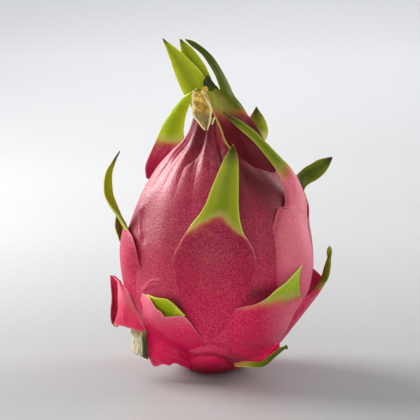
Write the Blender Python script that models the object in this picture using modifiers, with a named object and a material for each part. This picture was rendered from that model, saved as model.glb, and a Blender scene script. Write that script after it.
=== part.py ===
"""A dragon fruit (red pitaya) standing on the small flat spot where its skin has settled.

The fruit is one solid body with a pleated neck. Leafy scales, a cut stem and the withered
flower are separate pieces that sit on it. All sizes below are in millimetres; the scene is
in metres. +Z is up, the origin is the centre of the flat spot, and the front faces -Y.
Azimuths are in degrees, 0 at the front and growing towards +X.
"""

import math

import bmesh
import bpy
import numpy as np
from mathutils import Vector, noise

MM = 0.001

# Driving dimensions of the body.
HEART = Vector((0.0, 0.0, 50.0))  # every ray from here meets the skin once
NECK_TOP = 118.0
FOOT_RADIUS = 14.0
GIRTH_RADIUS = 43.0
FULLER_SIDE = 0.05  # how much wider the +X flank is than the mean
SHOULDER_SWELL = 3.5  # how far the +X shoulder stands out
BODY_SEGMENTS, BODY_RINGS = 56, 40

# Half of the body's outline, (radius, height), from the neck down to the flat spot.
MERIDIAN = (
    (0.0, NECK_TOP),
    (5.0, 117.4),
    (8.4, 114.8),
    (9.8, 111.0),
    (11.4, 107.0),
    (14.4, 103.0),
    (19.5, 98.5),
    (26.0, 92.0),
    (32.6, 83.0),
    (37.6, 73.0),
    (41.6, 62.0),
    (GIRTH_RADIUS, 52.0),
    (42.8, 42.0),
    (40.8, 32.0),
    (36.8, 22.0),
    (31.0, 13.0),
    (24.6, 6.4),
    (18.6, 2.2),
    (FOOT_RADIUS, 0.0),
)
NECK_PLEATS = 7
PLEAT_DEPTH = 1.1
PLEATS_START = 88.0  # height at which the pleats begin to show

# Scales: how they sit on the skin.
SKIN_GAP = 0.35
THINNEST_LIFT = 0.95
TIP = 0.8
SCALE_THICKNESS = 1.5
EDGE_THICKNESS = 0.55
RISE = 3.4
CURL = 0.75  # angle, in radians, through which each half of a free blade is rolled
SCALE_COLUMNS, SCALE_ROWS = 6, 15

SKIN_PINK = (0.55, 0.06, 0.13, 1.0)
LEAF_GREEN = (0.26, 0.38, 0.04, 1.0)
STEM_BEIGE = (0.42, 0.40, 0.20, 1.0)
PAPER_YELLOW = (0.50, 0.34, 0.07, 1.0)

# Each scale is a strip laid along stations. A "bed" station (azimuth, height, half_width)
# lies on the skin, and a "blade" station (x, y, z, half_width) stands free of it. "roll"
# turns the strip's width direction from level towards +Z, and "twist" turns the blade about
# its own length on the way to the tip, both in degrees.
SCALES = {
    "scale_front": {
        "bed": ((0, 43, 20), (0, 51, 22), (1, 60, 19.5), (2, 69, 14)),
        "blade": (
            (3.6, -42.3, 79, 8.8),
            (5.8, -42, 88, 6),
            (7.7, -40.6, 97.5, 4.2),
            (8.8, -38.5, 106.5, TIP),
        ),
    },
    "scale_left": {
        "bed": ((-78, 46, 17), (-79, 53, 17.5), (-80.5, 61, 13)),
        "blade": (
            (-46.2, -7, 68, 7.5),
            (-47.6, -6.6, 75.5, 5),
            (-48.4, -6.8, 83, 4.2),
            (-47.5, -7.5, 91, 3),
            (-42.2, -7.4, 100, TIP),
        ),
    },
    "scale_right": {
        "bed": ((61, 50, 18), (61, 57, 19), (60, 64, 18)),
        "blade": (
            (39.6, -21.6, 71, 15.5),
            (40, -19.3, 77.5, 12.5),
            (37.6, -18.5, 85, 10),
            (32.6, -19.5, 93.5, 6.5),
            (25.5, -20, 101, 5),
            (18, -19, 109, 4.2),
            (10.8, -18, 115, 3),
            (4.5, -18, 118.5, TIP),
        ),
    },
    "scale_low_left": {
        "bed": ((-40, 18, 15), (-34, 27, 21)),
        "blade": ((-21.5, -41, 35, 16), (-22.5, -45.5, 40, 11), (-23.5, -49, 36.5, 4)),
        "roll": -14,
    },
    "scale_low_right": {
        "bed": ((26, 15, 13), (33, 26, 19.5)),
        "blade": ((29.6, -35.8, 35.5, 13.5), (35.6, -33, 43, 8), (39.9, -28.6, 51, TIP)),
        "curl": 0.45,
    },
    "scale_low_far_right": {
        "bed": ((80, 16, 10), (81, 26, 12.5)),
        "blade": ((46, -7.4, 35.5, 9), (50.3, -7.2, 42, 6), (52.5, -6.6, 49, 3.8), (53, -6.5, 56, TIP)),
    },
    "scale_foot_right": {
        "bed": ((38, 3.2, 8), (44, 6, 10)),
        "blade": ((26.3, -20.4, 7.5, 9), (30.4, -21.4, 9.5, 6), (34.3, -21.8, 14, TIP)),
    },
    "scale_foot_left": {
        "bed": ((-38.5, 15, 7), (-38.5, 11, 9)),
        "blade": ((-21, -27.8, 5.6, 8.5),),
        "roll": 180,
        "curl": 0.2,
    },
    "scale_flared": {
        "bed": ((-66, 24, 7), (-76, 28, 10)),
        "blade": ((-47.6, -4.4, 30, 10.5),),
        "roll": 90,
        "rise": 4.2,
        "curl": 0.3,
    },
    "scale_upper_left": {
        "bed": ((-137, 74, 11), (-136, 82, 13), (-135, 90, 12.5)),
        "blade": (
            (-21, 19.5, 98, 11),
            (-18, 15.4, 106, 9),
            (-14.6, 9.6, 115, 6.2),
            (-11.4, 4, 122, 3.6),
            (-8.6, -1.8, 127.5, TIP),
        ),
    },
    "scale_upper_right": {
        "bed": ((40, 78, 14), (42, 86, 14), (44, 95, 11)),
        "blade": (
            (16.4, -15.8, 103, 9.5),
            (13, -12.8, 112, 8),
            (10.4, -9.6, 121, 5.6),
            (7.6, -7, 128, 4),
            (3.6, -5.4, 135, 3.2),
            (-1.2, -4, 142, 2.7),
            (-6, -3.5, 147, 2),
            (-11.8, -3.5, 150, TIP),
        ),
    },
    "scale_upper_far_right": {
        "bed": ((137, 78, 10), (136, 87, 11.5), (135, 96, 9)),
        "blade": ((20.6, 19.8, 104.5, 6.6), (20.9, 19, 111, 5.2), (19.8, 17, 117.3, TIP)),
    },
    "scale_side_right": {
        "bed": ((105, 62, 10), (104, 70, 11.5), (102, 78, 9)),
        "blade": ((42, 6.9, 85, 5), (46, 7, 88.5, 4), (50.3, 7, 91.8, 3.3), (54.5, 7, 95.5, TIP)),
        "twist": 65,
    },
    "scale_side_left": {
        "bed": ((-121, 34, 12), (-119, 46, 12)),
        "blade": ((-42.8, 20, 56, 5.5), (-44.6, 19.6, 62, 3.8), (-44.8, 18.5, 68, TIP)),
    },
    "scale_back": {
        "bed": ((176, 40, 17), (175, 50, 18), (175, 61, 15.5)),
        "blade": ((3.7, 44, 71, 10.5), (3.2, 44.6, 81, 7), (2.5, 43, 91, 4.5), (1, 39, 100, TIP)),
    },
    "scale_back_right": {
        "bed": ((133, 43, 11.5), (134, 50, 13.5), (135, 57, 13)),
        "blade": ((30.5, 33.8, 66, 10), (31, 34.6, 75, 6.5), (30, 34.6, 84, 4.2), (27, 32.5, 93, TIP)),
    },
    "scale_back_left": {
        "bed": ((-144, 52, 12), (-143, 60, 14), (-142, 69, 12.5)),
        "blade": ((-26, 33, 77, 8.5), (-25.5, 33.4, 86, 5.5), (-23, 31.5, 94, 3.6), (-18.5, 27, 101, TIP)),
    },
    "scale_back_upper": {
        "bed": ((178, 75, 10), (178, 84, 10.5), (178, 92, 8.5)),
        "blade": ((1, 27.2, 100, 7), (0.5, 25.5, 108, 5), (0, 22, 116, 3.5), (-1, 17, 123, TIP)),
    },
    "scale_low_back_right": {
        "bed": ((119, 11, 9), (119, 20, 12), (118, 29, 11.5)),
        "blade": ((43, 20.2, 38, 7.5), (45.8, 21.3, 46, 5), (46.4, 21.4, 54, TIP)),
    },
    "scale_low_back": {
        "bed": ((158, 9, 9.5), (158, 18, 13), (158, 28, 13)),
        "blade": ((17, 43.5, 37.5, 9), (17.8, 46.8, 45, 5.5), (18, 47, 53, TIP)),
    },
    "scale_low_back_left": {
        "bed": ((-155, 10, 9.5), (-155, 19, 13), (-155, 29, 13)),
        "blade": ((-20.3, 42, 38.5, 9), (-21, 45.4, 46, 5.5), (-21, 45.5, 54, TIP)),
    },
}

# Crown leaves and the flower's withered flap stand on the neck and touch no skin: they have
# only blade stations, and "face" is the azimuth that their outer side looks to.
CROWN_LEAVES = {
    "crown_leaf_left": {
        "blade": (
            (-6.5, 2.6, 118.9, 4),
            (-8.4, 2, 126, 5.5),
            (-12, 1.5, 133, 5.2),
            (-16.5, 1, 140.5, 3.8),
            (-22.5, 0.5, 149.3, TIP),
        ),
        "face": -60,
    },
    "crown_leaf_back": {
        "blade": (
            (-1.3, 6.8, 118.9, 4),
            (-4.6, 8.8, 128, 4.8),
            (-8.3, 8, 137, 4.3),
            (-12.3, 8, 144, 3),
            (-15, 8, 149.3, TIP),
        ),
        "face": 180,
    },
    "crown_leaf_stub": {
        "blade": ((2.2, -1.2, 118.7, 3.2), (1.6, -1.6, 123.5, 3.4), (0, -2, 127.5, 2.6), (-2.2, -2, 130, 1)),
        "face": 20,
    },
    "flower_flap": {
        "blade": (
            (-4.8, -11.6, 116.5, 4.8),
            (-4.7, -13.6, 112, 5),
            (-4, -15.3, 108, 3),
            (-3.4, -16.4, 105, TIP),
        ),
        "face": -20,
    },
}

# The withered flower's knot on the neck's top, and the cut stem beside the foot.
KNOT_CENTRE, KNOT_RADII = Vector((-5.2, -5.6, 121.8)), Vector((4.3, 3.6, 3.1))
STEM_TOP, STEM_FOOT = Vector((-33.0, -18.4, 19.4)), Vector((-33.6, -18.8, 6.8))
STEM_RADIUS = 3.3


def smoothstep(value):
    """0 below 0, 1 above 1, and a smooth rise between."""
    value = np.clip(value, 0.0, 1.0)
    return value * value * (3.0 - 2.0 * value)


def spline(points, count):
    """count rows along a Catmull-Rom curve through rows of points, evenly spaced by distance."""
    rows = np.asarray(points, float)
    ends = (2 * rows[0] - rows[1], 2 * rows[-1] - rows[-2])
    rows = np.vstack([ends[0], rows, ends[1]])
    fine = []
    for a, b, c, d in zip(rows, rows[1:], rows[2:], rows[3:]):
        square, cube = 2 * a - 5 * b + 4 * c - d, 3 * b - a - 3 * c + d
        for s in np.linspace(0.0, 1.0, 24, endpoint=False):
            fine.append(0.5 * (2 * b + (c - a) * s + square * s**2 + cube * s**3))
    fine = np.array(fine + [rows[-2]])
    run = np.concatenate([[0.0], np.cumsum(np.linalg.norm(np.diff(fine[:, :3], axis=0), axis=1))])
    at = np.linspace(0.0, run[-1], count)
    return np.column_stack([np.interp(at, run, column) for column in fine.T])


def meridian_table():
    """The outline as (angle from +Z at HEART, distance from HEART), rising in angle."""
    outline = spline([(r, 0.0, z) for r, z in MERIDIAN], 240)
    reach = outline[:, 2] - HEART.z
    return np.arctan2(outline[:, 0], reach), np.hypot(outline[:, 0], reach)


MERIDIAN_ANGLES, MERIDIAN_REACH = meridian_table()


def skin_point(direction):
    """Where the ray from HEART along direction meets the skin."""
    ray = direction.normalized()
    angle = math.acos(max(-1.0, min(1.0, ray.z)))
    azimuth = math.atan2(ray.x, -ray.y)
    reach = float(np.interp(angle, MERIDIAN_ANGLES, MERIDIAN_REACH))
    waist = math.sin(angle) ** 2
    reach *= 1.0 + waist * (FULLER_SIDE * math.sin(azimuth) + 0.012 * math.cos(3 * azimuth + 0.6))
    height = HEART.z + reach * ray.z
    shoulder = math.exp(-(((math.degrees(azimuth) - 80.0) / 45.0) ** 2) - ((height - 82.0) / 13.0) ** 2)
    reach += SHOULDER_SWELL * shoulder
    pleat = float(smoothstep((height - PLEATS_START) / (NECK_TOP - PLEATS_START)))
    pleat *= math.sin(angle) / 0.25 if angle < 0.25 else 1.0
    reach += PLEAT_DEPTH * pleat * math.cos(NECK_PLEATS * azimuth + 0.9)
    if ray.z < 0.0:
        reach = min(reach, HEART.z / -ray.z)
    return HEART + ray * reach


def skin_at(azimuth, height):
    """The skin's point at an azimuth and a height, found by stepping down the ray's angle."""
    turn = math.radians(azimuth)
    low, high = 0.0, math.pi
    for _ in range(40):
        angle = 0.5 * (low + high)
        ray = Vector((math.sin(angle) * math.sin(turn), -math.sin(angle) * math.cos(turn), math.cos(angle)))
        low, high = (angle, high) if skin_point(ray).z > height else (low, angle)
    return skin_point(ray)


def lifted(point, lift):
    """The skin's point under or over point, raised by lift along the ray from HEART."""
    ray = (point - HEART).normalized()
    return skin_point(ray) + ray * lift


def make_material(name, colour, roughness):
    material = bpy.data.materials.new(name)
    material.use_nodes = True
    shader = material.node_tree.nodes["Principled BSDF"]
    shader.inputs["Base Color"].default_value = colour
    shader.inputs["Roughness"].default_value = roughness
    shader.inputs["Metallic"].default_value = 0.0
    material.diffuse_color = colour
    return material


def add_object(name, bm, material, collection):
    """A named mesh object from bm, with its points turned from millimetres to metres."""
    bmesh.ops.scale(bm, vec=(MM, MM, MM), verts=bm.verts)
    mesh = bpy.data.meshes.new(name)
    bm.to_mesh(mesh)
    bm.free()
    mesh.materials.append(material)
    mesh.shade_smooth()
    obj = bpy.data.objects.new(name, mesh)
    collection.objects.link(obj)
    return obj


def make_body(material, collection):
    """The fruit: a sphere whose points are moved out to the skin, flat where it rests."""
    bm = bmesh.new()
    bmesh.ops.create_uvsphere(bm, u_segments=BODY_SEGMENTS, v_segments=BODY_RINGS, radius=1.0)
    for vert in bm.verts:
        vert.co = skin_point(vert.co)
        if vert.co.z < 0.05:
            vert.co.z = 0.0
    return add_object("fruit_body", bm, material, collection)


def stations_of(spec):
    """The strip's stations as rows (x, y, z, half_width), and how many of them lie on the skin."""
    bed, rows = spec.get("bed", ()), []
    climb = spec.get("rise", RISE) - THINNEST_LIFT
    for i, (azimuth, height, half_width) in enumerate(bed):
        lift = THINNEST_LIFT + climb * float(smoothstep(i / (len(bed) - 1)))
        rows.append((*lifted(skin_at(azimuth, height), lift), half_width))
    return rows + list(spec["blade"]), len(bed)


def strip_frames(spec, count):
    """Evenly spaced (centre, side, normal, half_width) along a strip, and where it leaves the skin."""
    rows, bedded = stations_of(spec)
    line = spline(rows, count)
    centres = [Vector(row[:3]) for row in line]
    if bedded:
        facing = spec["bed"][bedded - 1][0]
        leaving = min(range(count), key=lambda i: (centres[i] - Vector(rows[bedded - 1][:3])).length)
    else:
        facing, leaving = spec["face"], 0
    turn, roll = math.radians(facing), math.radians(spec.get("roll", 0.0))
    level = Vector((math.cos(turn), math.sin(turn), 0.0))
    across = level * math.cos(roll) + Vector((0.0, 0.0, 1.0)) * math.sin(roll)
    frames, start = [], leaving / (count - 1)
    for i, centre in enumerate(centres):
        along = (centres[min(i + 1, count - 1)] - centres[max(i - 1, 0)]).normalized()
        side = (across - along * across.dot(along)).normalized()
        twist = float(smoothstep((i / (count - 1) - start) / (0.6 * (1.0 - start))))
        twist *= math.radians(spec.get("twist", 0.0))
        side = side * math.cos(twist) + along.cross(side) * math.sin(twist)
        frames.append((centre, side, side.cross(along), line[i][3]))
    return frames, start


def make_strip(name, spec, material, collection):
    """A scale or crown leaf: a grid bent along its stations, made solid towards its inner side."""
    frames, leaving = strip_frames(spec, SCALE_ROWS + 1)
    rise, curl = spec.get("rise", RISE), spec.get("curl", CURL)
    bm = bmesh.new()
    bmesh.ops.create_grid(bm, x_segments=SCALE_COLUMNS, y_segments=SCALE_ROWS, size=1.0)
    thickness = {}
    for vert in bm.verts:
        across, share = vert.co.x, 0.5 * (vert.co.y + 1.0)
        centre, side, normal, half_width = frames[round(share * SCALE_ROWS)]
        bend = across * curl
        free = centre + (side * math.sin(bend) + normal * (math.cos(bend) - 1.0)) * (half_width / curl)
        if leaving:
            grown = float(smoothstep(share / leaving))
            lift = THINNEST_LIFT + (rise - THINNEST_LIFT) * grown * (1.0 - 0.35 * across**4)
            flat = centre + side * (across * half_width)
            bedded = lifted(flat, lift)
            loose = float(smoothstep((share - leaving) / (0.5 * (1.0 - leaving))))
            wall = min(lift - SKIN_GAP, SCALE_THICKNESS) * (1.0 - loose) + SCALE_THICKNESS * loose
            vert.co = bedded.lerp(free, loose)
        else:
            wall = SCALE_THICKNESS
            vert.co = free
        slim = wall + (min(wall, EDGE_THICKNESS) - wall) * abs(across) ** 3
        thickness[vert.index] = slim * (1.0 - 0.72 * share**4)
    obj = add_object(name, bm, material, collection)
    group = obj.vertex_groups.new(name="thickness")
    for index, wall in thickness.items():
        group.add([index], wall / SCALE_THICKNESS, "REPLACE")
    solid = obj.modifiers.new("Solidify", "SOLIDIFY")
    solid.thickness = SCALE_THICKNESS * MM
    solid.offset = -1.0
    solid.vertex_group = group.name
    return obj


def make_knot(material, collection):
    """The dried knot: a sphere squashed and dented by noise."""
    bm = bmesh.new()
    bmesh.ops.create_uvsphere(bm, u_segments=16, v_segments=10, radius=1.0)
    for vert in bm.verts:
        dent = 1.0 + 0.16 * noise.noise(vert.co * 1.7)
        vert.co = KNOT_CENTRE + vert.co * KNOT_RADII * dent
    return add_object("flower_knot", bm, material, collection)


def make_stem(material, collection):
    """The cut stem: a short, slightly flattened peg with three shallow grooves."""
    bm = bmesh.new()
    length = (STEM_TOP - STEM_FOOT).length
    bmesh.ops.create_cone(
        bm, cap_ends=True, segments=18, radius1=STEM_RADIUS, radius2=STEM_RADIUS * 0.9, depth=length
    )
    middle = (STEM_TOP + STEM_FOOT) * 0.5
    lean = (STEM_TOP - STEM_FOOT).to_track_quat("Z", "Y")
    for vert in bm.verts:
        angle = math.atan2(vert.co.y, vert.co.x)
        groove = 1.0 - 0.07 * (1.0 + math.cos(3 * angle))
        slant = 0.3 * vert.co.x if vert.co.z < 0.0 else 0.0
        vert.co = middle + lean @ Vector((vert.co.x * groove, vert.co.y * groove * 0.9, vert.co.z + slant))
    return add_object("stem_stub", bm, material, collection)


def main():
    for obj in list(bpy.data.objects):
        bpy.data.objects.remove(obj)
    fruit = bpy.data.collections.new("dragon_fruit")
    bpy.context.scene.collection.children.link(fruit)
    rind = make_material("rind", SKIN_PINK, 0.45)
    leaf = make_material("leaf", LEAF_GREEN, 0.5)
    make_body(rind, fruit)
    for name, spec in SCALES.items():
        make_strip(name, spec, leaf, fruit)
    dried = make_material("dried_flower", PAPER_YELLOW, 0.7)
    for name, spec in CROWN_LEAVES.items():
        make_strip(name, spec, dried if name == "flower_flap" else leaf, fruit)
    make_knot(dried, fruit)
    make_stem(make_material("stem", STEM_BEIGE, 0.8), fruit)


main()
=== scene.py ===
"""The looks of a dragon fruit (red pitaya) standing on a pale sweep in soft studio light.

Sizes in this file are millimetres until a mesh is made; the scene is in metres. The fruit
stands at the origin with +Z up and its front towards -Y. Azimuths are in degrees, 0 at the
front and growing towards +X. Every mesh is computed in the fruit's own frame.
"""

import math

import bpy
import numpy as np
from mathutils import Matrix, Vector, noise


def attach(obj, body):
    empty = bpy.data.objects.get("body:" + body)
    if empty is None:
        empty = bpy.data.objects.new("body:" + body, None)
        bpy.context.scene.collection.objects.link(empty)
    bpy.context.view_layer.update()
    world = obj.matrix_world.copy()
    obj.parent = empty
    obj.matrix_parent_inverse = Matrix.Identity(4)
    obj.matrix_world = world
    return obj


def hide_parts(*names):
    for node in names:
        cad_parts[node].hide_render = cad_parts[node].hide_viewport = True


MM = 0.001
HEART = np.array([0.0, 0.0, 50.0])  # every ray from here meets the skin once

# The body's outline, (radius, height), from the neck down to the flat spot.
MERIDIAN = (
    (0, 118), (5, 117.4), (8.4, 114.8), (9.8, 111), (11.4, 107), (14.4, 103), (19.5, 98.5), (26, 92),
    (32.6, 83), (37.6, 73), (41.6, 62), (43, 52), (42.8, 42), (40.8, 32), (36.8, 22), (31, 13),
    (24.6, 6.4), (18.6, 2.2), (14, 0),
)
FULLER_SIDE = 0.05  # how much wider the +X flank is than the mean
SHOULDER_SWELL = 3.5  # how far the +X shoulder stands out
BODY_COLUMNS, BODY_ROWS = 400, 240

# Creases in the skin: (azimuth, height) points, width and depth in mm. A negative depth is a ridge.
CREASES = (
    (((-64, 76), (-60, 71), (-54, 65), (-49, 60)), 1.5, 0.9),
    (((-67, 78), (-63, 72), (-57, 66), (-52, 60)), 2.2, -0.9),
    (((-27, 121), (-26, 112), (-27, 103), (-32, 94)), 1.4, 2.8),
    (((-42, 118), (-43, 110), (-45, 101)), 1.7, -0.9),
    (((-62, 116), (-64, 108), (-66, 100), (-64, 93)), 2.0, -1.3),
    (((-14, 112), (-13, 103), (-12, 96)), 1.6, -0.9),
    (((-54, 38.5), (-47, 41), (-41, 42.8), (-31, 44.5)), 0.7, -0.7),
    (((-50, 41), (-42, 44.3), (-36, 45.6), (-30, 46)), 0.6, -0.5),
    (((-26, 13), (-10, 12.5), (-2, 13.5), (14, 10.5), (26, 8)), 1.3, -1.0),
    (((-24, 15.5), (-8, 15.3), (0, 16), (16, 13)), 1.2, 0.8),
)

# hot     how bright its crimson is      shade   painted shade, how far it is darkened into shadow
# Leafy scales. "bed" stations (azimuth, height, half_width) lie on the skin and "blade"
# stations (x, y, z, half_width) stand free. The rest shapes and colours each scale:
#   puff    how far its cushion swells off the skin      rim    how far the rim stands off
#   free    shares of its length over which the rim comes free of the skin
#   green   shares of its length over which red turns to green, and arch how it bows up the middle
#   age     0 for young yellow-green, 1 for old dark green, and lush for a fresher green
#   pale    painted light, 0 for plain rind and 1 for rind painted pale pink where light falls
#   curl    half angle, in radians, through which the blade is rolled
#   twist   degrees by which the blade turns about its length; lit blades get no painted shade on their inner side
SCALES = {
    "scale_front": {
        "bed": ((-2, 19, 8), (-1, 27, 15), (-0.5, 37, 20.5), (0, 49, 22.2), (1, 59, 19.5), (2, 67.5, 14)),
        "blade": (
            (3.2, -42.2, 76, 9.6), (4.8, -42, 84, 6.9), (6.6, -41, 93, 4.8), (8, -39.8, 100.5, 3),
            (8.8, -38.4, 106.5, 0.3),
        ),
        "free": (0.34, 0.5), "green": (0.52, 0.64), "arch": 0.07, "age": 0.35, "puff": 3.0, "curl": 0.5,
        "shade": 0.12,
    },
    "scale_left": {
        "bed": ((-72, 24, 9), (-75, 34, 17), (-78, 45, 21), (-79, 54, 20), (-80.5, 62, 13.5)),
        "blade": (
            (-46, -7, 69, 7.5), (-47.6, -6.6, 75.5, 5), (-48.4, -6.8, 83, 4.2), (-47.5, -7.5, 91, 3.2),
            (-42.2, -7.4, 100, 0.3),
        ),
        "twist": -35, "lit": True, "lush": 0.8, "free": (0.26, 0.42), "green": (0.5, 0.62), "age": 0.0,
    },
    "scale_right": {
        "bed": ((60, 18, 9), (62, 28, 17), (62, 40, 21), (61, 52, 21.5), (60, 63, 20)),
        "blade": (
            (39.6, -21.8, 71, 15), (40, -19.5, 77.5, 11), (37.2, -19.5, 85, 6.6), (32.4, -21, 92.5, 3.8),
            (26, -21.2, 100, 2.5), (18.5, -20, 108, 2.1), (11, -18.6, 114, 1.8), (4.5, -18, 118.5, 0.3),
        ),
        "free": (0.42, 0.58), "green": (0.62, 0.76), "twist": -45, "pale": 1.0, "puff": 4.0, "age": 0.65,
    },
    "scale_upper_far_right": {
        "bed": ((137, 70, 8), (136, 79, 11), (135, 88, 12), (135, 96, 9.5)),
        "blade": ((21.2, 19.8, 104.5, 8), (21.6, 19, 111, 6.4), (20, 17, 117.8, 0.3)),
        "green": (0.4, 0.55), "age": 0.55,
    },
    "scale_side_right": {
        "bed": ((106, 56, 8), (105, 64, 12), (104, 71, 12), (102, 78, 9)),
        "blade": ((42, 6.9, 85, 5.2), (46, 7, 88.5, 4.2), (50.3, 7, 91.8, 3.4), (54.5, 7, 95.5, 0.3)),
        "twist": 65, "green": (0.45, 0.6), "age": 1.0,
    },
    "scale_side_left": {
        "bed": ((-122, 26, 9), (-121, 36, 13), (-119, 47, 12.5)),
        "blade": ((-42.8, 20, 57, 5.5), (-44.6, 19.6, 62.5, 3.8), (-44.8, 18.5, 68, 0.3)),
        "green": (0.45, 0.6), "age": 0.9,
    },
    "scale_back": {
        "bed": ((177, 18, 8), (176, 28, 16), (176, 40, 20.5), (175, 51, 21), (175, 62, 16.5)),
        "blade": ((3.7, 44, 72, 10.5), (3.2, 44.6, 81, 7), (2.5, 43, 91, 4.5), (1, 39, 100, 0.3)),
        "green": (0.5, 0.66), "age": 0.5,
    },
    "scale_back_right": {
        "bed": ((131, 34, 9), (132, 44, 14), (134, 57, 14)),
        "blade": ((30.5, 33.8, 66, 10), (31, 34.6, 75, 6.5), (30, 34.6, 84, 4.2), (27, 32.5, 93, 0.3)),
        "green": (0.42, 0.6), "age": 0.4,
    },
    "scale_back_left": {
        "bed": ((-144, 42, 9), (-144, 52, 14), (-143, 61, 15.5), (-142, 70, 13)),
        "blade": ((-26, 33, 78, 8.5), (-25.5, 33.4, 86, 5.5), (-23, 31.5, 94, 3.6), (-18.5, 27, 101, 0.3)),
        "green": (0.45, 0.6), "age": 0.5,
    },
    "scale_back_upper": {
        "bed": ((178, 68, 8), (178, 77, 11), (178, 85, 11.5), (178, 92, 9)),
        "blade": ((1, 27.2, 100, 7), (0.5, 25.5, 108, 5), (0, 22, 116, 3.5), (-1, 17, 123, 0.3)),
        "green": (0.4, 0.55), "age": 0.3,
    },
    "scale_low_back_right": {
        "bed": ((119, 8, 8), (119, 18, 13), (118, 29, 13)),
        "blade": ((42, 19.5, 38, 8.5), (45, 20.8, 46, 5), (46, 21, 54, 0.3)),
        "green": (0.45, 0.62), "age": 0.6,
    },
    "scale_low_back": {
        "bed": ((158, 7, 8), (158, 17, 14), (158, 28, 14)),
        "blade": ((17, 43.5, 37.5, 9.5), (17.8, 46.8, 45, 5.5), (18, 47, 53, 0.3)),
        "green": (0.45, 0.62), "age": 0.4,
    },
    "scale_low_back_left": {
        "bed": ((-155, 7, 8), (-155, 18, 14), (-155, 29, 14)),
        "blade": ((-20.3, 42, 38.5, 9.5), (-21, 45.4, 46, 5.5), (-21, 45.5, 54, 0.3)),
        "green": (0.45, 0.62), "age": 0.7,
    },
    # Leaves on the neck's top touch no skin: "face" is the azimuth that their outer side looks to.
    "crown_leaf_left": {
        "blade": (
            (-6, 2.6, 118.9, 4.6), (-8.2, 2, 126, 6.6), (-11.6, 1.5, 132.5, 6.4), (-16.3, 1, 140.5, 4),
            (-22.8, 0.5, 150, 0.3),
        ),
        "face": -15, "green": (-0.5, 0.12), "age": 0.15,
    },
    "crown_leaf_back": {
        "blade": (
            (-1.3, 6.8, 118.9, 4), (-4.6, 8.8, 128, 4.8), (-8.3, 8, 137, 4.3), (-12.3, 8, 144, 3),
            (-15, 8, 149.3, 0.3),
        ),
        "face": -10, "green": (-0.5, 0.1), "age": 0.3,
    },
}
DEFAULTS = {
    "free": (0.25, 0.45), "green": (0.5, 0.65), "arch": 0.0, "age": 0.5, "puff": 2.6, "rim": 1.5,
    "curl": 0.6, "hot": 0.0, "pale": 0.0, "shade": 0.0, "lush": 0.0, "twist": 0.0, "lit": False,
}
SCALE_ROWS, SCALE_COLUMNS = 150, 44
LOFT_ROWS, LOFT_COLUMNS = 70, 90

# Free-form pieces: rows of (x, y, z) from the top edge down, each from its left end to its right.
LOW_LEFT_FACE = (
    ((-34.5, -17, 38), (-30.5, -27.5, 38), (-28, -33.5, 37), (-25.5, -36, 33.5), (-23, -38, 32),
     (-21.5, -38.5, 30), (-17.5, -41, 30.5), (-13.5, -42, 31), (-10.5, -41, 28.5), (-7, -38.5, 23),
     (-3, -34, 17)),
    ((-35.5, -15, 35.5), (-30.5, -27, 35), (-26.5, -33.5, 31), (-22, -36, 27.5), (-17, -38.5, 27),
     (-12.5, -39.5, 26), (-8.5, -37.5, 22), (-5, -33, 16.5)),
    ((-35.5, -11, 30), (-30.5, -23.5, 28.5), (-25, -31, 25), (-19.5, -34, 22), (-14, -35, 20),
     (-9.5, -33.5, 17), (-7, -30.5, 14)),
    ((-34, -11, 24.5), (-29.5, -19.5, 20.5), (-24, -23.5, 16.5), (-18.5, -27, 14.5), (-13, -28.5, 13),
     (-9.5, -28, 11.5), (-7.5, -26.5, 10.5)),
)
FOOT_LEFT = (
    ((-33, -15.5, 24.5), (-28.5, -24.5, 24), (-23, -29.5, 21), (-17.5, -31, 17.5), (-12.5, -31, 15),
     (-8.5, -29, 12.5)),
    ((-31.5, -16, 20), (-26.5, -23, 18), (-21, -27, 15.5), (-15.5, -28.5, 13), (-10, -26.5, 9.5)),
    ((-30.5, -18, 16), (-26, -25, 13), (-21, -28.5, 11.5), (-16, -29, 9.5), (-10, -27.5, 7)),
    ((-30, -19, 10.5), (-26, -25.5, 9), (-22, -28.5, 8.5), (-17, -28.5, 8), (-10.5, -26.5, 5)),
    ((-28, -20, 5.5), (-26.5, -23.5, 4.5), (-24, -26, 5.5), (-22.5, -28, 6.5), (-19.5, -28.5, 6),
     (-17.5, -28.5, 7), (-15, -28, 6.5), (-12.5, -26.5, 5), (-10, -24.5, 3)),
)
FLARED_FACE = (
    ((-43, -10, 41), (-42.5, -11, 41), (-41.5, -10, 40.5)),
    ((-43, -12, 37), (-41.5, -14.5, 37.5), (-38.5, -14.5, 37.5)),
    ((-43, -13, 32.5), (-40, -17, 33), (-36.5, -17.5, 33)),
    ((-43, -13, 28), (-39.5, -18, 28), (-34.5, -18.5, 28.5)),
    ((-44, -12, 24), (-39, -18, 24), (-32, -19, 24)),
    ((-45, -11, 21.5), (-42.5, -14, 21.5), (-38, -18, 21), (-34.5, -21, 20.5), (-29.5, -20, 19)),
)
FLARED_LINING = (
    ((-47, -2, 42.5), (-45.5, -3, 41.5), (-43, -8, 40.5)),
    ((-46.5, -3, 38), (-44.5, -2, 37.5), (-42.5, -8, 37.5)),
    ((-46, -4, 32), (-44, -2.5, 31.5), (-42, -9, 32)),
    ((-46.5, -4.5, 27), (-44, -3, 26), (-42, -9, 26.5)),
    ((-46.5, -5, 23), (-44.5, -4, 22.5), (-42.5, -9, 23)),
    ((-45.5, -7, 20.5), (-45, -8, 20), (-43.5, -10, 20)),
)
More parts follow.
